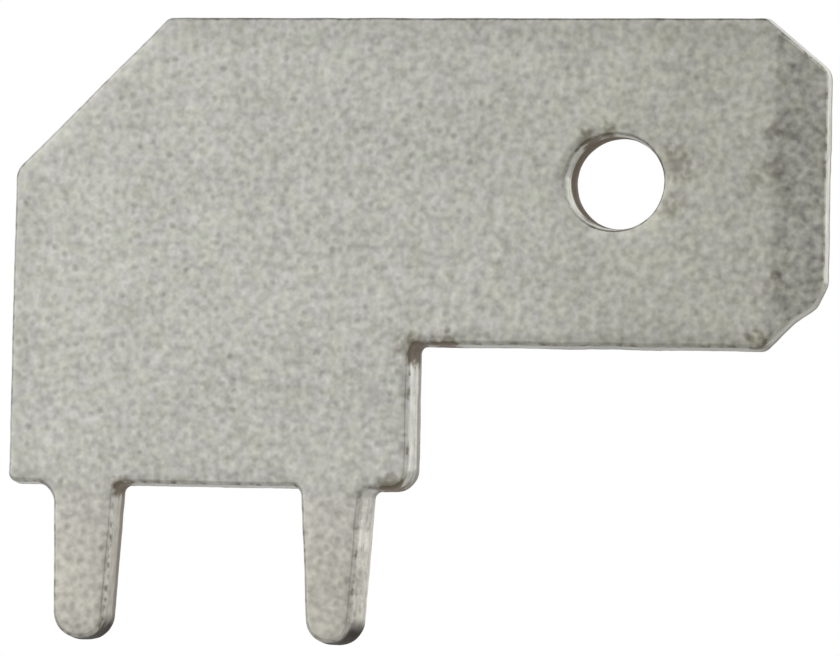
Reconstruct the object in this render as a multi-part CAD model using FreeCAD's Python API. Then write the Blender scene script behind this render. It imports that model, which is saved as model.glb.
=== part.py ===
import FreeCAD, Part
import math
import os

# A right-angle tab terminal for a circuit board: one flat stamping of tin-plated brass sheet.
# A wide body stands on the board on two tapered solder legs, and a push-on blade runs out of
# its side, parallel with the board. All sizes are in millimetres.
#
# The origin is on the board's surface, midway between the legs and in the middle of the sheet.
# +X points to the blade's tip, +Z away from the board, and the face with the rounded edges
# looks to -Y.

# Sheet and blade, in the standard 6.3 by 0.8 size for push-on receptacles
sheet_thickness = 0.80
blade_width = 6.30
blade_length = 7.91
blade_above_board = 2.77

# Body: how far it reaches past the centre lines of the two legs
leg_pitch = 5.00
back_overhang = 1.52
front_overhang = 1.51
back_corner_cut = 3.00
back_cut_lower_radius = 0.40
back_cut_upper_radius = 0.20
back_foot_radius = 0.18
front_foot_radius = 0.40
front_foot_drop = 0.03
inner_corner_radius = 0.15

# Solder legs. The back leg's outer side is steeper than the other three. Each end is a full round
# of two arcs with a short flat between, and the end share is the part that the back arc takes.
leg_length = 3.00
leg_root_width = 1.34
leg_taper_deg = 3.6
leg_end_flat = 0.04
leg_root_fillet = 0.18
back_leg_outer_half_width = 0.60
back_leg_outer_taper_deg = 1.2
back_leg_outer_fillet = 0.42
back_leg_end_share = 0.53
front_leg_end_share = 0.50

# Blade tip: two cut corners and a lead-in that is pressed into both faces. The upper corner is
# one straight cut. The lower one goes up steeply, then in a flatter step, then round the nose.
upper_cut_length = 1.20
upper_cut_height = 1.00
lower_cut_length = 0.54
lower_cut_height = 0.53
lower_step_length = 0.43
lower_step_height = 0.29
lower_nose_length = 0.21
lower_nose_height = 0.42
cut_start_radius = 0.20
cut_step_radius = 0.30
nose_radius = 0.22
tip_corner_radius = 0.32
lead_in_length = 0.92
tip_thickness = 0.50

# Hole that the receptacle's dimple snaps into
hole_diameter = 1.80
hole_from_tip = 4.02

# Edge that the punch has drawn in, all round the front face and the hole
drawn_edge_radius = 0.14

# Places that follow from the sizes
half_sheet = sheet_thickness / 2
back_leg_x = -leg_pitch / 2
front_leg_x = leg_pitch / 2
back_x = back_leg_x - back_overhang
front_x = front_leg_x + front_overhang
tip_x = front_x + blade_length
blade_bottom_z = blade_above_board
blade_top_z = blade_bottom_z + blade_width
hole_x = tip_x - hole_from_tip
hole_z = blade_bottom_z + blade_width / 2
front_foot_z = -front_foot_drop

# How far an edge's box may stray from the front face and still lie in it
face_tolerance = 1e-6


def flank_x(root_x, outward, taper_deg, z):
    """X of a leg's side at height z: the side leans inward as it goes down from the root."""
    return root_x + outward * math.tan(math.radians(taper_deg)) * z


def leg_corners(centre_x, back_half, back_taper, back_fillet, end_share, front_z):
    """Corners of one leg, from its back root down round the end and up to its front root."""
    back_root_x = centre_x - back_half
    front_root_x = centre_x + leg_root_width / 2
    back_end_x = flank_x(back_root_x, -1, back_taper, -leg_length)
    front_end_x = flank_x(front_root_x, 1, leg_taper_deg, -leg_length)
    rounded_width = front_end_x - back_end_x - leg_end_flat
    return [
        (back_root_x, 0, back_fillet),
        (back_end_x, -leg_length, rounded_width * end_share),
        (front_end_x, -leg_length, rounded_width * (1 - end_share)),
        (flank_x(front_root_x, 1, leg_taper_deg, front_z), front_z, leg_root_fillet),
    ]


def outline_corners():
    """Corners of the blank as (x, z, rounding), once round from the foot of the back edge."""
    back_leg = leg_corners(
        back_leg_x,
        back_leg_outer_half_width,
        back_leg_outer_taper_deg,
        back_leg_outer_fillet,
        back_leg_end_share,
        0,
    )
    front_leg = leg_corners(
        front_leg_x,
        leg_root_width / 2,
        leg_taper_deg,
        leg_root_fillet,
        front_leg_end_share,
        front_foot_z,
    )
    body_front = [
        (front_x, front_foot_z, front_foot_radius),
        (front_x, blade_bottom_z, inner_corner_radius),
    ]
    nose_x = tip_x - lower_nose_length
    step_x = nose_x - lower_step_length
    step_z = blade_bottom_z + lower_cut_height
    nose_z = step_z + lower_step_height
    blade_tip = [
        (step_x - lower_cut_length, blade_bottom_z, cut_start_radius),
        (step_x, step_z, cut_step_radius),
        (nose_x, nose_z, nose_radius),
        (tip_x, nose_z + lower_nose_height, tip_corner_radius),
        (tip_x, blade_top_z - upper_cut_height, tip_corner_radius),
        (tip_x - upper_cut_length, blade_top_z, cut_start_radius),
    ]
    back = [
        (back_x + back_corner_cut, blade_top_z, back_cut_upper_radius),
        (back_x, blade_top_z - back_corner_cut, back_cut_lower_radius),
        (back_x, 0, back_foot_radius),
    ]
    return back_leg + front_leg + body_front + blade_tip + back


def rounded_wire(corners, y):
    """Closed wire through the corners at depth y, with each corner rounded by a tangent arc."""
    points = [FreeCAD.Vector(x, y, z) for x, z, radius in corners]
    joins = []
    for index, (x, z, radius) in enumerate(corners):
        corner = points[index]
        before = (points[index - 1] - corner).normalize()
        after = (points[(index + 1) % len(points)] - corner).normalize()
        half_angle = before.getAngle(after) / 2
        reach = radius / math.tan(half_angle)
        inward = (before + after).normalize()
        middle = corner + inward * (radius / math.sin(half_angle) - radius)
        joins.append((corner + before * reach, middle, corner + after * reach))
    edges = []
    for index, (start, middle, end) in enumerate(joins):
        edges.append(Part.Arc(start, middle, end).toShape())
        edges.append(Part.LineSegment(end, joins[(index + 1) % len(joins)][0]).toShape())
    return Part.Wire(edges)


def blank():
    """The sheet cut to the outline, with the hole pierced through the blade."""
    face = Part.Face(rounded_wire(outline_corners(), -half_sheet))
    sheet = face.extrude(FreeCAD.Vector(0, sheet_thickness, 0))
    punch = Part.makeCylinder(
        hole_diameter / 2,
        sheet_thickness,
        FreeCAD.Vector(hole_x, -half_sheet, hole_z),
        FreeCAD.Vector(0, 1, 0),
    )
    return sheet.cut(punch)


def lies_on_front(edge):
    """Whether an edge runs in the front face."""
    box = edge.BoundBox
    return max(abs(box.YMin + half_sheet), abs(box.YMax + half_sheet)) < face_tolerance


def draw_in_front_edges(sheet):
    """Rounds every edge of the front face, as the punch drew it in."""
    return sheet.makeFillet(drawn_edge_radius, [edge for edge in sheet.Edges if lies_on_front(edge)])


def lead_in_wedge(side):
    """What the press takes from one face of the blade's tip. side is -1 in front, 1 behind."""
    slope = (half_sheet - tip_thickness / 2) / lead_in_length
    past_tip = lead_in_length
    start = FreeCAD.Vector(tip_x - lead_in_length, side * half_sheet, 0)
    end = FreeCAD.Vector(tip_x + past_tip, side * (tip_thickness / 2 - slope * past_tip), 0)
    clear = FreeCAD.Vector(0, side * sheet_thickness, 0)
    profile = Part.makePolygon([start, end, end + clear, start + clear, start])
    wedge = Part.Face(profile).extrude(FreeCAD.Vector(0, 0, blade_width + 2 * sheet_thickness))
    wedge.translate(FreeCAD.Vector(0, 0, blade_bottom_z - sheet_thickness))
    return wedge


def tab_terminal():
    """The finished terminal, one solid."""
    terminal = draw_in_front_edges(blank())
    for side in (-1, 1):
        terminal = terminal.cut(lead_in_wedge(side))
    return terminal


os.makedirs("parts", exist_ok=True)
terminal = tab_terminal()
terminal.exportStep("parts/tab_terminal.step")
box = terminal.BoundBox
print("solids", len(terminal.Solids), "valid", terminal.isValid(), "volume", round(terminal.Volume, 3))
print("from", [round(v, 3) for v in (box.XMin, box.YMin, box.ZMin)])
print("to", [round(v, 3) for v in (box.XMax, box.YMax, box.ZMax)])
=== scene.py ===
# %% [markdown]
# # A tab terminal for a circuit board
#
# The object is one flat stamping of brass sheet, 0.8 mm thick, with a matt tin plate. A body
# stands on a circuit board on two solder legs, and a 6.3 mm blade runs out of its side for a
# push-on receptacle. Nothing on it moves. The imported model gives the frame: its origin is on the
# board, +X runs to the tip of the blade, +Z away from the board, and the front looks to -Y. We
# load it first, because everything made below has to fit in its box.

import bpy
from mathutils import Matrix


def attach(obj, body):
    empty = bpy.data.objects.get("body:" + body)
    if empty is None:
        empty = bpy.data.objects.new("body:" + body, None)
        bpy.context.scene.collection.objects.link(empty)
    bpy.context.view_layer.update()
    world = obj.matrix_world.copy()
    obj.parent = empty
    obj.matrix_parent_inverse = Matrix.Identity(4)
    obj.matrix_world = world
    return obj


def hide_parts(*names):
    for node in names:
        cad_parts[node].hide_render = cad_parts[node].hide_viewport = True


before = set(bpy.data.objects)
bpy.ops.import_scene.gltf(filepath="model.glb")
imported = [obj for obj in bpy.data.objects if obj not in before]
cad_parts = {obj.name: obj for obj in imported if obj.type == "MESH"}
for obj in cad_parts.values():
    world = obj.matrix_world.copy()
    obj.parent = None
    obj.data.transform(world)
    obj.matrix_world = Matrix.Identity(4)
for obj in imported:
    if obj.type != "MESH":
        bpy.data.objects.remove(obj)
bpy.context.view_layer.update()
print("nodes", sorted(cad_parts))

# %% Tools and units
import math

import bmesh
import bpy
import numpy as np
from mathutils import Matrix, Vector, noise
from mathutils.geometry import delaunay_2d_cdt
from mathutils.kdtree import KDTree

MM = 0.001

# %% [markdown]
# ## The outline
#
# The punch cuts the blank in one stroke, so its outline is one closed line of straight runs and
# small arcs. A curve object could hold it, but we need the way outward at every point too, to
# shape the edge, so the outline is worked out here: a list of corners, each with the radius that
# rounds it. All lengths are in millimetres until the mesh is written.

# %% Sizes of the blank
HALF_SHEET = 0.40
BLADE_BOTTOM, BLADE_TOP = 2.77, 9.07
BACK_X, FRONT_X, TIP_X = -4.02, 4.01, 11.92
LEG_X, LEG_LENGTH, LEG_HALF_WIDTH, LEG_TAPER = 2.50, 3.00, 0.67, 3.6
BACK_LEG_HALF_WIDTH, BACK_LEG_TAPER = 0.60, 1.2
LEG_END_FLAT, LEG_ROOT_FILLET = 0.04, 0.18
FRONT_FOOT_Z = -0.03
HOLE_X, HOLE_Z, HOLE_RADIUS = 7.90, 5.92, 0.90


def flank(root_x, outward, taper, z):
    """X of a leg's side at height z; the side leans inward as it goes down."""
    return root_x + outward * math.tan(math.radians(taper)) * z


def leg(centre, back_half, back_taper, back_fillet, end_share, front_z):
    """Corners of one leg, down its back side, round its end and up its front side."""
    back_root, front_root = centre - back_half, centre + LEG_HALF_WIDTH
    back_end = flank(back_root, -1, back_taper, -LEG_LENGTH)
    front_end = flank(front_root, 1, LEG_TAPER, -LEG_LENGTH)
    rounded = front_end - back_end - LEG_END_FLAT
    return [
        (back_root, 0, back_fillet),
        (back_end, -LEG_LENGTH, rounded * end_share),
        (front_end, -LEG_LENGTH, rounded * (1 - end_share)),
        (flank(front_root, 1, LEG_TAPER, front_z), front_z, LEG_ROOT_FILLET),
    ]


OUTLINE = leg(-LEG_X, BACK_LEG_HALF_WIDTH, BACK_LEG_TAPER, 0.42, 0.53, 0)
OUTLINE += leg(LEG_X, LEG_HALF_WIDTH, LEG_TAPER, LEG_ROOT_FILLET, 0.50, FRONT_FOOT_Z)
OUTLINE += [
    (FRONT_X, FRONT_FOOT_Z, 0.40),
    (FRONT_X, BLADE_BOTTOM, 0.15),
    (TIP_X - 1.18, BLADE_BOTTOM, 0.20),
    (TIP_X - 0.64, BLADE_BOTTOM + 0.53, 0.30),
    (TIP_X - 0.21, BLADE_BOTTOM + 0.82, 0.22),
    (TIP_X, BLADE_BOTTOM + 1.24, 0.32),
    (TIP_X, BLADE_TOP - 1.00, 0.32),
    (TIP_X - 1.20, BLADE_TOP, 0.20),
    (BACK_X + 3.00, BLADE_TOP, 0.20),
    (BACK_X, BLADE_TOP - 3.00, 0.40),
    (BACK_X, 0, 0.18),
]
print("corners in the outline:", len(OUTLINE))

# %% Walk along an outline
RUN_STEP = 0.07
ARC_STEP = math.radians(7)
HOLE_POINTS = 110
NO_LIMIT = 9.0


def rounding(corner, before, after, radius):
    """Points over a rounded corner, from the ways to the corners before and after it.

    Each has the way outward and the room inward, which is how far the edge can move in before it
    folds over: the radius, on an arc that bulges, and without limit elsewhere."""
    half_angle = before.angle(after) / 2
    centre = corner + (before + after).normalized() * (radius / math.sin(half_angle))
    first = (corner + before * (radius / math.tan(half_angle)) - centre) / radius
    bulges = before.x * after.y - before.y * after.x < 0
    turn = math.pi - 2 * half_angle
    steps = max(2, math.ceil(turn / ARC_STEP))
    stations = []
    for step in range(steps + 1):
        spoke = Matrix.Rotation(turn * step / steps * (1 if bulges else -1), 2) @ first
        way_out, room = (spoke, radius) if bulges else (-spoke, NO_LIMIT)
        stations.append((centre + spoke * radius, way_out, room))
    return stations


def walk(corners):
    """Points once round a closed outline, with the way outward and the room inward at each."""
    arcs = []
    for index, (x, z, radius) in enumerate(corners):
        corner = Vector((x, z))
        before = (Vector(corners[index - 1][:2]) - corner).normalized()
        after = (Vector(corners[(index + 1) % len(corners)][:2]) - corner).normalized()
        arcs.append(rounding(corner, before, after, radius))
    stations = []
    for index, arc in enumerate(arcs):
        stations += arc
        start, way_out, _ = arc[-1]
        end = arcs[(index + 1) % len(arcs)][0][0]
        pieces = math.ceil((end - start).length / RUN_STEP)
        for step in range(1, pieces):
            stations.append((start.lerp(end, step / pieces), way_out, NO_LIMIT))
    points = np.array([station[0] for station in stations])
    outward = np.array([station[1] for station in stations])
    room = np.array([station[2] for station in stations])
    return points, outward, room


def walk_hole(radius, count):
    """The same for the hole, where the way out of the metal is towards the hole's middle."""
    angles = np.linspace(0, -2 * math.pi, count, endpoint=False)
    spokes = np.column_stack([np.cos(angles), np.sin(angles)])
    return np.array([HOLE_X, HOLE_Z]) + spokes * radius, -spokes, np.full(count, NO_LIMIT)


blank_edge = walk(OUTLINE)
hole_edge = walk_hole(HOLE_RADIUS, HOLE_POINTS)
print("points round the blank:", len(blank_edge[0]), "round the hole:", len(hole_edge[0]))

# %% [markdown]
# ## The edge of a stamping
#
# Seen through a loupe, a punched edge has bands. The punch first draws the sheet's front edge in,
# in a soft round. Then it shears a smooth, burnished band, and at last the rest breaks away, a
# little rougher, and leaves a fine burr on the back. The sides lean out a trace towards the back,
# and in three places the punch has dragged the front edge over: on the stem, on the front leg and
# on the side of the hole away from the tip. A bevel modifier gives one round of one kind, so we
# make rings of points instead: each ring follows the outline at its own distance and depth.

# %% Bands of the edge
DRAWN_WIDTH, DRAWN_DEPTH = 0.095, 0.19
TAIL_DEPTH, TAIL_LENGTH = 0.008, 0.10
BREAK_INSET = 0.008
LEAN = 0.030
BURR_HEIGHT = 0.010

# Dragged sides, each as x from and to, z from and to, and how far it stands back
STEM_DRAG = (3.80, 4.10, 0.0, 2.77, 0.055)
HOLE_DRAG = (6.90, 7.90, 4.9, 6.9, 0.09)
LEG_DRAG = (2.50, 3.40, -3.1, 0.0, 0.11)
WIDEST_DRAG = LEG_DRAG[-1]
DRAG_BLEND = 4


def slow_noise(points, scale, seed):
    """Smooth noise from -1 to 1 at points in the sheet's plane; scale is in waves per mm."""
    return np.array([noise.noise(Vector((x * scale, z * scale, seed))) for x, z in points])


def average_near(values, reach):
    """The average of the values within reach of each point on a closed line."""
    return np.mean([np.roll(values, shift) for shift in range(-reach, reach + 1)], axis=0)


def calm(values, reach):
    """The least value within reach on a closed line, then the average over the same reach."""
    shifts = range(-reach, reach + 1)
    return average_near(np.min([np.roll(values, shift) for shift in shifts], axis=0), reach)


def flare(points, outward):
    """How far the front edge stands back where the punch has dragged a side over."""
    size = np.zeros(len(points))
    x, z = points.T
    for x_from, x_to, z_from, z_to, amount in (STEM_DRAG, HOLE_DRAG, LEG_DRAG):
        here = (x > x_from) & (x < x_to) & (z > z_from) & (z < z_to)
        size = np.maximum(size, amount * here * np.clip(outward[:, 0], 0, 1))
    return average_near(size, DRAG_BLEND)


def softest_max(a, b, blend):
    """The larger of a and b, with a soft change-over."""
    near = np.clip(0.5 + 0.5 * (a - b) / blend, 0, 1)
    return b + (a - b) * near + blend * near * (1 - near)


print("drawn-in edge", DRAWN_WIDTH, "by", DRAWN_DEPTH, "mm, dragged at most", WIDEST_DRAG, "mm")

# %% [markdown]
# ## The lead-in
#
# A second stroke presses both faces of the blade's tip to a blunt wedge, so that a receptacle
# slides on. The tool's edge leaves a slightly wavy line with a faint step, and its end keeps a
# small round. This is a change of depth that every point takes, so it is a function of place.

# %% Depth of the faces below the sheet's surface
LEAD_IN_START = TIP_X - 0.92
TIP_HALF = 0.25
START_WAVE, START_SOFTNESS, START_STEP = 0.045, 0.035, 0.012
TIP_ROUND = 0.06
END_BLEND, FACE_INSET = 0.015, 0.004
UNEVEN, FINE_UNEVEN = 0.0022, 0.0008

# The back face lies this much further in, so that its burr stays within the sheet's thickness
BURR_ROOM = 0.012


def step_up(past, softness):
    """0 well before a line and 1 well past it."""
    return 0.5 + 0.5 * np.tanh(past / (2 * softness))


def pressed_depth(points, seed):
    """How deep the press has pushed a face in, and how far past the lead-in's start it is."""
    start = LEAD_IN_START + START_WAVE * slow_noise(points * [0, 1], 0.9, seed)
    past = points[:, 0] - start
    slope = (HALF_SHEET - TIP_HALF) / (TIP_X - LEAD_IN_START)
    wedge = slope * START_SOFTNESS * np.logaddexp(0, past / START_SOFTNESS)
    step = START_STEP * step_up(past, START_SOFTNESS / 2)
    return wedge + step, step_up(past, START_SOFTNESS)


def face_depth(points, seed, edge_depth, end_depth):
    """Depth of a face: its edge, the lead-in with its own small round, and a slight unevenness."""
    pressed, zone = pressed_depth(points, seed)
    uneven = UNEVEN * slow_noise(points, 0.8, seed + 5)
    uneven = uneven + FINE_UNEVEN * slow_noise(points, 3.1, seed + 9)
    return softest_max(edge_depth, pressed + end_depth, END_BLEND) + FACE_INSET + uneven, zone


def quarter(distance, width, depth):
    """Depth of a quarter round of that width and depth, at a distance in from the edge."""
    left = np.clip(1 - distance / width, 0, 1)
    return depth * (1 - np.sqrt(1 - left**2))


def front_y(points, distance, width):
    """Y of the front face, and the lead-in zone, at a distance in from the nearest edge."""
    edge = quarter(distance, width, DRAWN_DEPTH) + TAIL_DEPTH * np.exp(-distance / TAIL_LENGTH)
    end = quarter(distance, TIP_ROUND, TIP_ROUND)
    depth, zone = face_depth(points, 1.0, edge, end)
    return depth - HALF_SHEET, zone


def back_y(points, distance, burr):
    """Y of the back face, and the lead-in zone. The burr stands proud of the face."""
    end = quarter(distance, TIP_ROUND, TIP_ROUND)
    depth, zone = face_depth(points, 31.0, BURR_ROOM + 0 * distance, end + BURR_ROOM)
    return HALF_SHEET - depth + burr, zone


print("lead-in from x", round(LEAD_IN_START, 2), "mm, tip", 2 * TIP_HALF, "mm thick")

# %% Rings of points from the front face, over the edge, to the back face
# Shares of the way through the sheet: the wall's rings, and where the break, drag and lean change
DRAWN_RINGS = 9
WALL_SHARES = (0.14, 0.30, 0.44, 0.50, 0.64, 0.80, 0.93)
BREAK_START, BREAK_RUN = 0.47, 0.5
DRAG_ENDS, LEAN_ENDS = 0.6, 0.5

# The drawn-in edge's width: its share of the room in a tight arc, and round the hole
SHARE_OF_ROOM, ROOM_REACH = 0.85, 4
HOLE_EDGE_SHARE = 0.7

# Unevenness of the outline, the wall and the edge
WOBBLE, FINE_WOBBLE = 0.010, 0.005
RAGGED, SHEAR_WAVE = 0.005, 0.05
WIDTH_VARIES, DRAG_VARIES, BURR_VARIES = 0.10, 0.15, 0.45

# Distance in from the edge, and share of the burr's height. The burr's crest is marked as cut.
BACK_RINGS = ((0.024, 0.4), (0.034, 1.0), (0.050, 0.5), (0.075, 0.0))


def block_of(flat, y, drawn, cut, zone):
    """Points as (positions, drawn, cut, pressed), where drawn and cut may be single numbers."""
    positions = np.column_stack([flat[:, 0], y, flat[:, 1]])
    return positions, drawn + 0 * y, cut + 0 * y, zone


def drawn_rings(points, outward, width, dragged):
    """Rings over the drawn-in edge, from the front face to the wall."""
    rings = []
    for step in range(DRAWN_RINGS + 1):
        angle = math.pi / 2 * (1 - step / DRAWN_RINGS)
        inset = width * (1 - math.cos(angle))
        flat = points - outward * (inset + dragged)[:, None]
        y, zone = front_y(flat, inset, width)
        rings.append(block_of(flat, y, 1 - math.sin(angle), 0, zone))
    return rings


def wall_rings(points, outward, dragged, front_edge_y):
    """Rings down the wall, first smooth, then broken, set in and ragged."""
    inset = np.full(len(points), BREAK_INSET)
    back_edge_y, zone = back_y(points - outward * BREAK_INSET, inset, 0)
    shear = slow_noise(points, 1.6, 17.0)
    rings = []
    for share in WALL_SHARES:
        through = share + SHEAR_WAVE * shear * math.sin(math.pi * share)
        broken = np.clip((through - BREAK_START) / BREAK_RUN, 0, 1)
        ragged = RAGGED * slow_noise(points, 6.0, 40.0 * share) * (broken > 0)
        drag_left = dragged * np.clip(1 - through / DRAG_ENDS, 0, 1)
        lean = LEAN * np.clip(through / LEAN_ENDS, 0, 1)
        flat = points - outward * (BREAK_INSET * broken + ragged + drag_left - lean)[:, None]
        y = front_edge_y + (back_edge_y - front_edge_y) * through
        rings.append(block_of(flat, y, 1, through, zone))
    return rings


def burr_rings(points, outward):
    """Rings over the burr to the back face."""
    burr_size = BURR_HEIGHT * (1 - BURR_VARIES + BURR_VARIES * slow_noise(points, 2.3, 23.0))
    rings = []
    for inset, share in BACK_RINGS:
        flat = points - outward * (inset - LEAN)
        y, zone = back_y(flat, np.full(len(points), inset), burr_size * share)
        rings.append(block_of(flat, y, 0, share == 1.0, zone))
    return rings


def edge_rings(edge, share_of_width):
    """All rings of an outline, once over its edge from front to back."""
    points, outward, room = edge
    wobble = WOBBLE * slow_noise(points, 1.1, 3.0) + FINE_WOBBLE * slow_noise(points, 4.0, 7.0)
    points = points + outward * wobble[:, None]
    width = np.minimum(DRAWN_WIDTH * share_of_width, SHARE_OF_ROOM * calm(room, ROOM_REACH))
    width = width * (1 + WIDTH_VARIES * slow_noise(points, 0.7, 11.0))
    dragged = flare(points, outward) * (1 + DRAG_VARIES * slow_noise(points, 2.0, 29.0))
    rings = drawn_rings(points, outward, width, dragged)
    rings += wall_rings(points, outward, dragged, rings[-1][0][:, 1])
    return rings + burr_rings(points, outward)


blank_rings = edge_rings(blank_edge, 1.0)
hole_rings = edge_rings(hole_edge, HOLE_EDGE_SHARE)
print("rings over the edge:", len(blank_rings))

# %% [markdown]
# ## The faces
#
# Each face is flat but for a slight unevenness from rolling and pressing. We lay a staggered grid
# of points between the innermost rings, give each its depth, and let a Delaunay triangulation
# join them to the rings. That keeps the triangles even, where a simple fill would make slivers
# that catch the light.

# %% Fill one face between the rings
GRID_STEP = 0.11
EDGE_MARGIN = 0.06
INSIDE_THE_EDGES, SAME_PLACE = 1, 1e-7


def nearest_edge(edges):
    """A search tree over the edges' points, with the way outward at each."""
    points = np.vstack([edge[0] for edge in edges])
    outward = np.vstack([edge[1] for edge in edges])
    tree = KDTree(len(points))
    for index, (x, z) in enumerate(points):
        tree.insert((x, z, 0), index)
    tree.balance()
    return tree, points, outward


def inside_by(tree, points, outward, x, z):
    """How far a place is inside the metal, negative outside it."""
    _, index, distance = tree.find((x, z, 0))
    away = (x - points[index][0]) * outward[index][0] + (z - points[index][1]) * outward[index][1]
    return -distance if away > 0 else distance


edge_search = nearest_edge([blank_edge, hole_edge])
print("edge points to search:", len(edge_search[1]))


def grid_places(margin):
    """Places on a staggered grid that are at least margin inside the metal, and how far."""
    places, distances = [], []
    row_step = GRID_STEP * math.sqrt(3) / 2
    rows = math.ceil((BLADE_TOP + LEG_LENGTH) / row_step)
    columns = math.ceil((TIP_X - BACK_X) / GRID_STEP)
    for row in range(rows):
        z = -LEG_LENGTH + row * row_step
        for column in range(columns):
            x = BACK_X + (column + 0.5 * (row % 2)) * GRID_STEP
            distance = inside_by(*edge_search, x, z)
            if distance > margin:
                places.append((x, z))
                distances.append(distance)
    return np.array(places), np.array(distances)


def encloses(loop, spots):
    """Whether each spot is inside a closed line, by how often a ray from it meets the line."""
    ends = np.roll(loop, -1, axis=0)
    x, z = spots[:, :1], spots[:, 1:]
    rise = ends[:, 1] - loop[:, 1]
    rise = np.where(rise == 0, 1, rise)
    meets = loop[:, 0] + (z - loop[:, 1]) * (ends[:, 0] - loop[:, 0]) / rise
    spans = (loop[:, 1] > z) != (ends[:, 1] > z)
    return (spans & (x < meets)).sum(axis=1) % 2 == 1


def join_face(boundaries, places):
    """Triangles over a face. Numbers count the boundaries' points first, then the places."""
    loops = [ring[0][:, [0, 2]] for ring in boundaries]
    edges, start = [], 0
    for loop in loops:
        count = len(loop)
        edges += [(start + i, start + (i + 1) % count) for i in range(count)]
        start += count
    flat = np.vstack(loops + [places])
    spots = [Vector(spot) for spot in flat]
    found = delaunay_2d_cdt(spots, edges, [], INSIDE_THE_EDGES, SAME_PLACE)
    triangles = np.array([[found[3][index][0] for index in face] for face in found[2]])
    middles = flat[triangles].mean(axis=1)
    in_metal = encloses(loops[0], middles) & ~encloses(loops[1], middles)
    return triangles[in_metal].tolist()


# %% Quads over the edges, triangles over the faces
FRONT, BACK = 0, 1
blocks, faces, ends = [], [], []


def add(block):
    """Keeps a block of points and gives the number of its first one."""
    start = sum(len(kept[0]) for kept in blocks)
    blocks.append(block)
    return start


def fill(side, boundaries, margin, depth_of, edge_size):
    """Triangles over the front or the back, inside its innermost rings."""
    grid, distance = grid_places(margin + EDGE_MARGIN)
    y, zone = depth_of(grid, distance, edge_size)
    start = add(block_of(grid, y, 0, 0, zone))
    numbers = [end[side] + i for end in ends for i in range(end[2])]
    numbers += [start + i for i in range(len(grid))]
    return [tuple(numbers[i] for i in triangle) for triangle in join_face(boundaries, grid)]


for rings in (blank_rings, hole_rings):
    starts = [add(ring) for ring in rings]
    count = len(rings[0][0])
    for near, far in zip(starts, starts[1:]):
        for i in range(count):
            j = (i + 1) % count
            faces.append((near + i, far + i, far + j, near + j))
    ends.append((starts[0], starts[-1], count))
print("quads over the edges:", len(faces))
front_rims, back_rims = ([blank_rings[i], hole_rings[i]] for i in (0, -1))
faces += fill(FRONT, front_rims, DRAWN_WIDTH + WIDEST_DRAG, front_y, DRAWN_WIDTH)
faces += fill(BACK, back_rims, BACK_RINGS[-1][0], back_y, 0)

# %% Write the mesh, with its zones stored for the material
mesh = bpy.data.meshes.new("stamped_terminal")
mesh.from_pydata((np.vstack([block[0] for block in blocks]) * MM).tolist(), [], faces)
for column, label in enumerate(("drawn", "cut", "pressed"), 1):
    values = np.concatenate([block[column] for block in blocks])
    attribute = mesh.attributes.new(label, "FLOAT", "POINT")
    attribute.data.foreach_set("value", values.astype(np.float32))
work = bmesh.new()
work.from_mesh(mesh)
bmesh.ops.recalc_face_normals(work, faces=work.faces)
open_edges = sum(not edge.is_manifold for edge in work.edges)
work.to_mesh(mesh)
work.free()
mesh.shade_smooth()

stamping = bpy.data.objects.new("stamped_terminal", mesh)
bpy.context.scene.collection.objects.link(stamping)
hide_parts("tab_terminal")
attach(stamping, "root")
print(stamping.name, "faces", len(mesh.polygons), "open edges", open_edges)

# %% [markdown]
# ## Shader expressions
#
# A finish is easier to read as arithmetic than as a list of links. A small class stands for a
# socket and adds a Math node for each operator, and a tree object makes every other node from its
# type, its settings and its inputs.

# %% Sockets in expressions
class Socket:
    """An output socket that works in Python arithmetic."""

    def __init__(self, tree, output):
        self.tree = tree
        self.output = output

    def math(self, operation, *terms):
        """A Math node on these terms."""
        return self.tree.node("ShaderNodeMath", {"operation": operation}, dict(enumerate(terms)))

    def __add__(self, other):
        return self.math("ADD", self, other)

    def __radd__(self, other):
        return self.math("ADD", other, self)

    def __sub__(self, other):
        return self.math("SUBTRACT", self, other)

    def __rsub__(self, other):
        return self.math("SUBTRACT", other, self)

    def __mul__(self, other):
        return self.math("MULTIPLY", self, other)

    def __rmul__(self, other):
        return self.math("MULTIPLY", other, self)

    def clamp(self):
        """The value held between 0 and 1."""
        return self.tree.node("ShaderNodeClamp", {}, {"Value": self})

    def ramp(self, low, high):
        """0 where the value is at low, 1 at high, smooth between."""
        settings = {"interpolation_type": "SMOOTHSTEP"}
        inputs = {"Value": self, "From Min": low, "From Max": high}
        return self.tree.node("ShaderNodeMapRange", settings, inputs)


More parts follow.
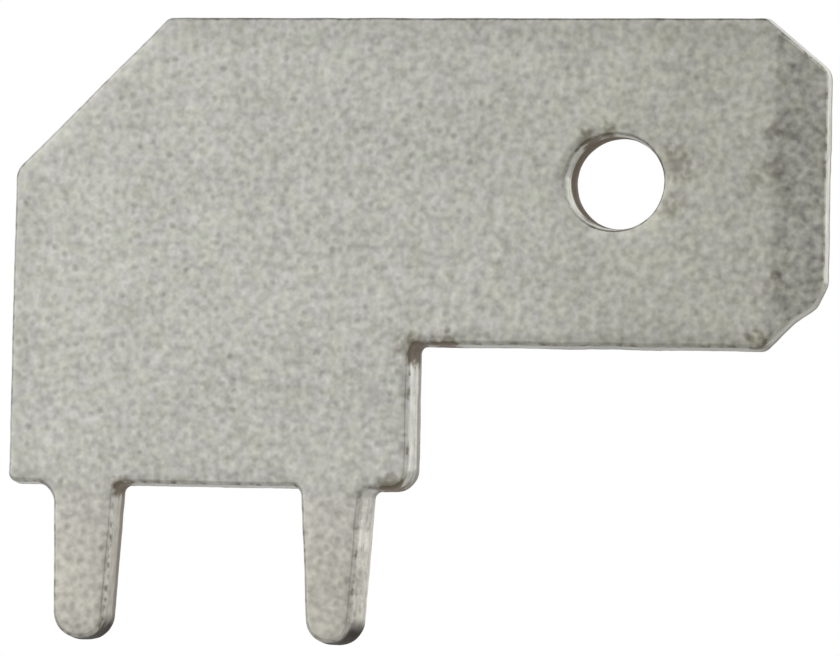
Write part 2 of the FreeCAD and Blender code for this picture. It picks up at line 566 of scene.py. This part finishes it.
class Tree:
    """A node tree that is filled by calls."""

    def __init__(self, owner):
        owner.use_nodes = True
        self.nodes = owner.node_tree.nodes
        self.links = owner.node_tree.links
        self.nodes.clear()

    def node(self, kind, settings=None, inputs=None, output=0):
        """A node of a kind, with its settings made first, then its sockets."""
        made = self.nodes.new(kind)
        for key, value in (settings or {}).items():
            setattr(made, key, value)
        for key, value in (inputs or {}).items():
            if isinstance(value, Socket):
                self.links.new(value.output, made.inputs[key])
            else:
                made.inputs[key].default_value = value
        return Socket(self, made.outputs[output]) if made.outputs else None

    def mix(self, share, first, second, blend="MIX"):
        """Two colours mixed, by a share from 0 for the first to 1 for the second."""
        settings = {"data_type": "RGBA", "blend_type": blend}
        return self.node("ShaderNodeMix", settings, {0: share, 6: first, 7: second}, 2)

    def place(self, scale):
        """The place on the object in millimetres, times a scale for all axes or one for each."""
        here = self.node("ShaderNodeTexCoord", output="Object")
        scales = Vector((scale, scale, scale)) if isinstance(scale, float) else scale
        settings = {"operation": "MULTIPLY"}
        return self.node("ShaderNodeVectorMath", settings, {0: here, 1: scales / MM})

    def noise(self, scale, detail, rough, distortion=0.0):
        """Noise with that many blotches per millimetre, from 0 to 1."""
        inputs = {
            "Vector": self.place(scale), "Scale": 1.0, "Detail": detail,
            "Roughness": rough, "Distortion": distortion,
        }
        return self.node("ShaderNodeTexNoise", {}, inputs)

    def zone(self, name):
        """A value that is stored on the mesh's points."""
        settings = {"attribute_name": name, "attribute_type": "GEOMETRY"}
        return self.node("ShaderNodeAttribute", settings, output="Fac")

    def along(self, axis):
        """The place along one axis of the object, in millimetres."""
        return self.node("ShaderNodeSeparateXYZ", {}, {"Vector": self.place(1.0)}, axis)


# %% [markdown]
# ## Matt tin plate
#
# The tin is plated on after the stamping, so it covers faces and edges alike. The mesh has stored
# where a point lies: drawn is 0 on the faces and 1 on the wall, cut runs through the wall from
# front to back, and pressed is 1 on the lead-in. With the place itself they say where the finish
# changes, so we name those regions first.

# %% Regions of the stamping
material = bpy.data.materials.new("tin_plate")
tin = Tree(material)
drawn, cut, pressed = (tin.zone(name) for name in ("drawn", "cut", "pressed"))
x, y, z = (tin.along(axis) for axis in "XYZ")
below = 0.0 - z


def off(place_x, place_z):
    """Squared distance from a place in the sheet's plane, in square millimetres."""
    across, up = x - place_x, z - place_z
    return across * across + up * up


def within(place_x, place_z, full, none):
    """1 up to one distance from a place, 0 past a larger one, in millimetres."""
    return 1.0 - off(place_x, place_z).ramp(full**2, none**2)


# The wall, the band that curves over to it, and the front of the sheet
steep = drawn.ramp(0.30, 0.80)
band = drawn.ramp(0.0, 0.2) * (1.0 - steep)
in_front = 1.0 - y.ramp(0.0, 0.35)

# The hole's wall, and each leg's side towards the blade
in_hole = within(HOLE_X, HOLE_Z, 0.97, 1.10)
back_leg = within(-1.75, -1.30, 0.8, 1.6)
front_leg = within(3.10, -1.60, 1.0, 1.7)
print("nodes for the regions:", len(tin.nodes))

# %% [markdown]
# ## Grain
#
# Under a loupe the plate is mottled: grains about a seventh of a millimetre across, some lighter
# and some darker, with small pits that have a pale rim. On the wall the tools have left fine lines
# that run along it. Colour, roughness and relief come from the same bumps in the real plate, so
# one value feeds all three. The patterns are solid textures, which need no unwrapping.

# %% Grain, pits and streaks
GRAIN_PER_MM, FINE_PER_MM, SLOW_PER_MM, PITS_PER_MM = 7.0, 17.0, 0.7, 3.2
STREAKS_PER_MM = Vector((1.3, 9.0, 1.3))
GRAIN_SHARE, FINE_SHARE, SLOW_SHARE = 0.92, 0.10, 0.16
RIM_HEIGHT, PIT_DEPTH, FEWER_ON_BLADE = 0.08, 0.18, 0.5

grain = tin.noise(GRAIN_PER_MM, 1.0, 0.40) - 0.5
fine = tin.noise(FINE_PER_MM, 0.0, 0.5) - 0.5
slow = tin.noise(SLOW_PER_MM, 0.0, 0.5) - 0.5
streaks = tin.noise(STREAKS_PER_MM, 2.0, 0.6) - 0.5
from_pit = tin.node("ShaderNodeTexVoronoi", {}, {"Vector": tin.place(PITS_PER_MM), "Scale": 1.0})
pits = 1.0 - from_pit.ramp(0.04, 0.28)
pit_rims = from_pit.ramp(0.20, 0.32) * (1.0 - from_pit.ramp(0.32, 0.50))
pitting = (pit_rims * RIM_HEIGHT - pits * PIT_DEPTH) * (1.0 - FEWER_ON_BLADE * x.ramp(3.0, 8.0))
relief = grain * GRAIN_SHARE + fine * FINE_SHARE + slow * SLOW_SHARE + pitting
print("nodes with the grain:", len(tin.nodes))

# %% [markdown]
# ## Stains, and painted shade on the leg ends
#
# The piece has been handled. It has brown smudges round the hole, in the corners and
# along the start of the lead-in, brown specks on the drawn-in edge and dirt on the broken part of
# the wall. The walls at the ends of the legs get a painted shade, near black, for the dark they
# reflect from below. Dirt and this painted shade aren't metal, so they lower Metallic as well as
# the
# colour: at a grazing angle metal shines, whatever its colour is.

# %% Smudges, specks, wall dirt and painted shade on the leg ends
# Each smudge as its x and z, its reach and its strength
SMUDGES = (
    (9.02, 6.26, 0.55, 0.90), (8.92, 5.45, 0.42, 0.70), (7.34, 6.74, 0.30, 1.40),
    (7.70, 6.93, 0.24, 1.30), (-1.75, -0.03, 0.30, 1.60), (-2.98, -2.10, 0.30, 0.80),
    (3.60, 0.00, 0.40, 1.50), (3.96, 2.70, 0.46, 1.40), (4.60, 2.78, 0.40, 1.40),
    (10.90, 6.90, 0.26, 0.80), (10.92, 6.20, 0.30, 0.80), (10.60, 5.95, 0.24, 0.60),
    (10.95, 4.00, 0.32, 0.80), (10.65, 2.95, 0.30, 1.20),
)

# How strongly each kind of dirt shows
SPECKS, SMUDGE_ON_FACE, SMUDGE_ON_WALL = 0.45, 0.45, 0.8
BREAK_DIRT, HOLE_DIRT, LEG_SIDE_CLEANER, LEG_SIDE_DIRT = 0.38, 0.62, 0.32, 0.30

stain = 0.0
for smudge_x, smudge_z, reach, strength in SMUDGES:
    near = 1.0 - off(smudge_x, smudge_z) * (1 / reach**2)
    patchy = (near * 0.9 - relief * 2.0).ramp(-0.1, 1.1)
    stain = patchy * near.ramp(0.0, 0.9) * strength + stain
specks = SPECKS * band * (0.0 - relief).ramp(0.0, 0.22)
at_edge = SMUDGE_ON_FACE + (1.0 - SMUDGE_ON_FACE) * drawn.ramp(0.0, 0.2)
stain = (stain * at_edge + specks) * in_front

broken = (cut + 0.20 * in_hole + streaks * 0.3 * steep).ramp(0.42, 0.52)
wall_dirt = broken * (BREAK_DIRT + HOLE_DIRT * in_hole - LEG_SIDE_CLEANER * front_leg)
wall_dirt = wall_dirt + LEG_SIDE_DIRT * steep * back_leg
wall_dirt = (wall_dirt + SMUDGE_ON_WALL * stain * drawn.ramp(0.0, 0.3)).clamp()
# Painted shade: the walls at the ends of the legs go near black for the dark they reflect from
# below
leg_end_shade = (below.ramp(2.35, 2.90) + relief * 0.6).ramp(0.05, 0.95) * steep
# Real dirt and the painted leg-end shade together
dirt_and_shade = (wall_dirt + leg_end_shade).clamp()
print("smudges:", len(SMUDGES), "nodes with the dirt:", len(tin.nodes))

# %% [markdown]
# ## Colour
#
# Matt tin is a soft grey with a trace of green and brown. It is warmer on the legs. The tone is
# darker towards the tip and along the rims in painted shade, lighter lower down, on the lead-in
# and on the back leg's drawn-in band in painted light, and lighter on the burnished wall in a
# painted sheen. Each of these is a factor on one tone, and the dirt and the painted leg-end shade
# go over it.

# %% Light and dark parts of the tone, most of them painted light and shade
# How much lighter or darker a place is than the faces. The lift of the wall and the leg side is a
# painted sheen, the darkening of the tip and the rims is painted shade, and the lift of the low
# part, the lead-in and the back leg's band is painted light
STREAKS, WALL_PAINTED_SHEEN, LEG_SIDE_PAINTED_SHEEN, BREAK_DARKER = 1.2, 0.30, 0.12, 0.20
TIP_PAINTED_SHADE, LOW_PAINTED_LIGHT, LEAD_IN_PAINTED_LIGHT, BAND_PAINTED_HIGHLIGHT = 0.09, 0.07, 0.07, 0.35
TOP_EDGE_PAINTED_SHADE, BACK_EDGE_PAINTED_SHADE, UNDER_BLADE_PAINTED_SHADE, TIP_LESS_BLUE = 0.14, 0.09, 0.07, 0.035

mottle = 1.0 + relief * (1.0 - 0.4 * steep) + streaks * steep * STREAKS
# Painted sheen: the wall, more so the front leg's side, is lighter to stand in for its bright
# grazing reflection
wall = 1.0 + steep * (WALL_PAINTED_SHEEN + LEG_SIDE_PAINTED_SHEEN * front_leg)
wall = wall * (1.0 - BREAK_DARKER * broken * (1.0 - front_leg))
# Painted shade and light: darker towards the tip, where the light falls off, and lighter lower
# down
along = (1.0 - TIP_PAINTED_SHADE * x.ramp(4.0, 11.5)) * (1.0 + LOW_PAINTED_LIGHT * below.ramp(-8.5, -2.5))
# Painted shade along the top edge, the back edge and the underside of the blade
painted_rim_shade = TOP_EDGE_PAINTED_SHADE * z.ramp(8.3, 9.0) + BACK_EDGE_PAINTED_SHADE * (-3.4 - x).ramp(0.0, 0.5)
painted_rim_shade = painted_rim_shade + UNDER_BLADE_PAINTED_SHADE * (3.4 - z).ramp(0.0, 0.5) * x.ramp(4.2, 5.0)
# Painted light on the lead-in, a painted highlight on the back leg's drawn-in band, and the rims'
# painted shade
painted_light_and_shade = (1.0 + LEAD_IN_PAINTED_LIGHT * pressed) * (1.0 - painted_rim_shade) * (1.0 + BAND_PAINTED_HIGHLIGHT * band * back_leg)
light = mottle * wall * along * painted_light_and_shade
shade = tin.node("ShaderNodeCombineColor", {}, {
    "Red": light, "Green": light, "Blue": light * (1.0 - TIP_LESS_BLUE * x.ramp(4.0, 9.0)),
})
print("nodes with the tone:", len(tin.nodes))

# %% Colour, roughness and relief together
GREENISH, BROWNISH = (0.471, 0.474, 0.419, 1), (0.479, 0.471, 0.445, 1)
LEG_TONE = (0.487, 0.468, 0.418, 1)
SMUDGE_TINT = (0.34, 0.29, 0.20, 1)
WALL_BROWN = (0.22, 0.175, 0.125, 1)
LEG_END_SHADE_BLACK = (0.034, 0.024, 0.015, 1)
RELIEF_HEIGHT, PRESSED_FLATTER = 0.0035 * MM, 0.6
ROUGH, WALL_SMOOTHER, BREAK_ROUGHER, DIRT_AND_SHADE_ROUGHER = 0.42, 0.17, 0.14, 0.25
DIRT_AND_SHADE_LESS_METALLIC = 0.85

tone = tin.mix(tin.noise(2.6, 2.0, 0.5, 0.3).ramp(0.34, 0.66), GREENISH, BROWNISH)
tone = tin.mix(below.ramp(-0.6, 1.6), tone, LEG_TONE)
clean = tin.mix(1.0, tone, shade, "MULTIPLY")
smudged = tin.mix(stain.clamp(), clean, SMUDGE_TINT, "MULTIPLY")
# The painted leg-end shade goes over the colour in near black
colour = tin.mix(leg_end_shade, tin.mix(wall_dirt, smudged, WALL_BROWN), LEG_END_SHADE_BLACK)
bump = tin.node("ShaderNodeBump", {}, {
    "Strength": 1.0, "Distance": RELIEF_HEIGHT,
    "Height": relief * (1.0 - PRESSED_FLATTER * pressed),
})
# Dirt and the painted leg-end shade are rougher and less metallic
dulled = BREAK_ROUGHER * broken + DIRT_AND_SHADE_ROUGHER * dirt_and_shade
surface = tin.node("ShaderNodeBsdfPrincipled", {}, {
    "Base Color": colour,
    "Roughness": ROUGH + relief * 0.25 - WALL_SMOOTHER * steep + dulled,
    "Metallic": 1.0 - DIRT_AND_SHADE_LESS_METALLIC * dirt_and_shade,
    "Normal": bump,
})
tin.node("ShaderNodeOutputMaterial", {}, {"Surface": surface})
stamping.data.materials.append(material)
print("plating nodes:", len(tin.nodes))

# %% [markdown]
# ## Camera
#
# The photograph was taken from a little below and to the blade's side of the front, with a long
# lens. A camera fitted to the edges of the terminal gives its place. It is tilted by 1.3 degrees
# about its own axis, as the object is in the photograph, and its shift centres the object.

# %% Place the camera
IMAGE_WIDTH = 840
TARGET = Vector((4.2, 0.0, 3.0)) * MM
AZIMUTH, ELEVATION, ROLL = (math.radians(angle) for angle in (12.386, -2.722, 1.318))
DISTANCE = 116.20 * MM
FOCAL_PIXELS = 6041.2
SHIFT_PIXELS = (-7.57, 5.58)
SENSOR = 36.0

away = Vector((
    math.sin(AZIMUTH) * math.cos(ELEVATION),
    -math.cos(AZIMUTH) * math.cos(ELEVATION),
    math.sin(ELEVATION),
))
right = (-away).cross(Vector((0, 0, 1))).normalized()
up = right.cross(-away)
rolled_right = right * math.cos(ROLL) + up * math.sin(ROLL)
rolled_up = up * math.cos(ROLL) - right * math.sin(ROLL)

lens = bpy.data.cameras.new("camera")
lens.lens = FOCAL_PIXELS / IMAGE_WIDTH * SENSOR
lens.sensor_width = SENSOR
lens.shift_x, lens.shift_y = (shift / IMAGE_WIDTH for shift in SHIFT_PIXELS)
lens.clip_start = 0.005
lens.clip_end = 10.0
camera = bpy.data.objects.new("camera", lens)
place = Matrix((rolled_right, rolled_up, away)).transposed().to_4x4()
place.translation = TARGET + away * DISTANCE
camera.matrix_world = place
bpy.context.scene.collection.objects.link(camera)
bpy.context.scene.camera = camera
print("camera at", [round(v / MM, 1) for v in camera.matrix_world.translation], "mm")

# %% [markdown]
# ## Studio
#
# Metal shows what stands round it. In the photograph the light is a wide soft one from the left
# and front, the backdrop is white, and it is dimmer above and to the right of the camera, which
# draws the thin dark lines along the edges. We use one soft lamp, a white world, a pale floor,
# and two grey cards that only reflections see. One hangs above and behind the piece, and the
# other stands to the right of the camera and gives the front face its even grey.

# %% Floor and cards
FLOOR_Z, FLOOR_SIZE = -14.0 * MM, 1.0
PAPER, GREY, DARK = (0.86, 0.86, 0.85, 1), (0.30, 0.30, 0.30, 1), (0.17, 0.17, 0.17, 1)
TOP_CARD, TOP_CARD_SIZE = (0.0, 0.13, 0.17), 0.16
CAMERA_CARD, CAMERA_CARD_SIZE = (0.118, -0.275, -0.012), 0.24


def plain(name, colour, rough=0.8):
    """A plain matt finish."""
    tree = Tree(bpy.data.materials.new(name))
    surface = tree.node("ShaderNodeBsdfPrincipled", {}, {"Base Color": colour, "Roughness": rough})
    tree.node("ShaderNodeOutputMaterial", {}, {"Surface": surface})
    return bpy.data.materials[name]


def sheet_of(name, size, centre, facing, material):
    """A square sheet of that size in metres, whose face looks towards a point."""
    half = size / 2
    corners = [(-half, -half, 0), (half, -half, 0), (half, half, 0), (-half, half, 0)]
    mesh = bpy.data.meshes.new(name)
    mesh.from_pydata(corners, [], [(0, 1, 2, 3)])
    mesh.materials.append(material)
    made = bpy.data.objects.new(name, mesh)
    made.rotation_euler = (Vector(facing) - Vector(centre)).to_track_quat("Z", "Y").to_euler()
    made.location = centre
    bpy.context.scene.collection.objects.link(made)
    return made


sheet_of("floor", FLOOR_SIZE, (0, 0, FLOOR_Z), (0, 0, 1), plain("floor_paper", PAPER))
grey, dark = plain("grey_card", GREY), plain("dark_card", DARK)
cards = [
    sheet_of("top_card", TOP_CARD_SIZE, TOP_CARD, TARGET, grey),
    sheet_of("camera_card", CAMERA_CARD_SIZE, CAMERA_CARD, TARGET, dark),
]
for card in cards:
    card.visible_camera = False
    card.visible_diffuse = False
    card.visible_shadow = False
    card.visible_transmission = False
print("cards:", [card.name for card in cards])

# %% Lamp and world
LAMP_PLACE, LAMP_SIZE, LAMP_WATTS = (-0.20, -0.26, 0.10), 0.22, 0.14
ROOM, WHITE = (0.60, 0.60, 0.60, 1), (1, 1, 1, 1)

lamp = bpy.data.lights.new("soft_lamp", "AREA")
lamp.shape = "DISK"
lamp.size = LAMP_SIZE
lamp.energy = LAMP_WATTS
lamp_object = bpy.data.objects.new("soft_lamp", lamp)
lamp_object.location = LAMP_PLACE
lamp_object.rotation_euler = (lamp_object.location - TARGET).to_track_quat("Z", "Y").to_euler()
bpy.context.scene.collection.objects.link(lamp_object)

world = bpy.data.worlds.new("white_room")
bpy.context.scene.world = world
tree = Tree(world)
path = "ShaderNodeLightPath"
seen = tree.node(path, output="Is Camera Ray") + tree.node(path, output="Is Glossy Ray")
seen = (seen + tree.node(path, output="Is Transmission Ray")).clamp()
room_colour = tree.mix(seen, ROOM, WHITE)
backdrop = tree.node("ShaderNodeBackground", {}, {"Color": room_colour, "Strength": 1.0})
tree.node("ShaderNodeOutputWorld", {}, {"Surface": backdrop})

bpy.context.scene.view_settings.view_transform = "Standard"
print("lamp", LAMP_WATTS, "W, world nodes", len(tree.nodes))
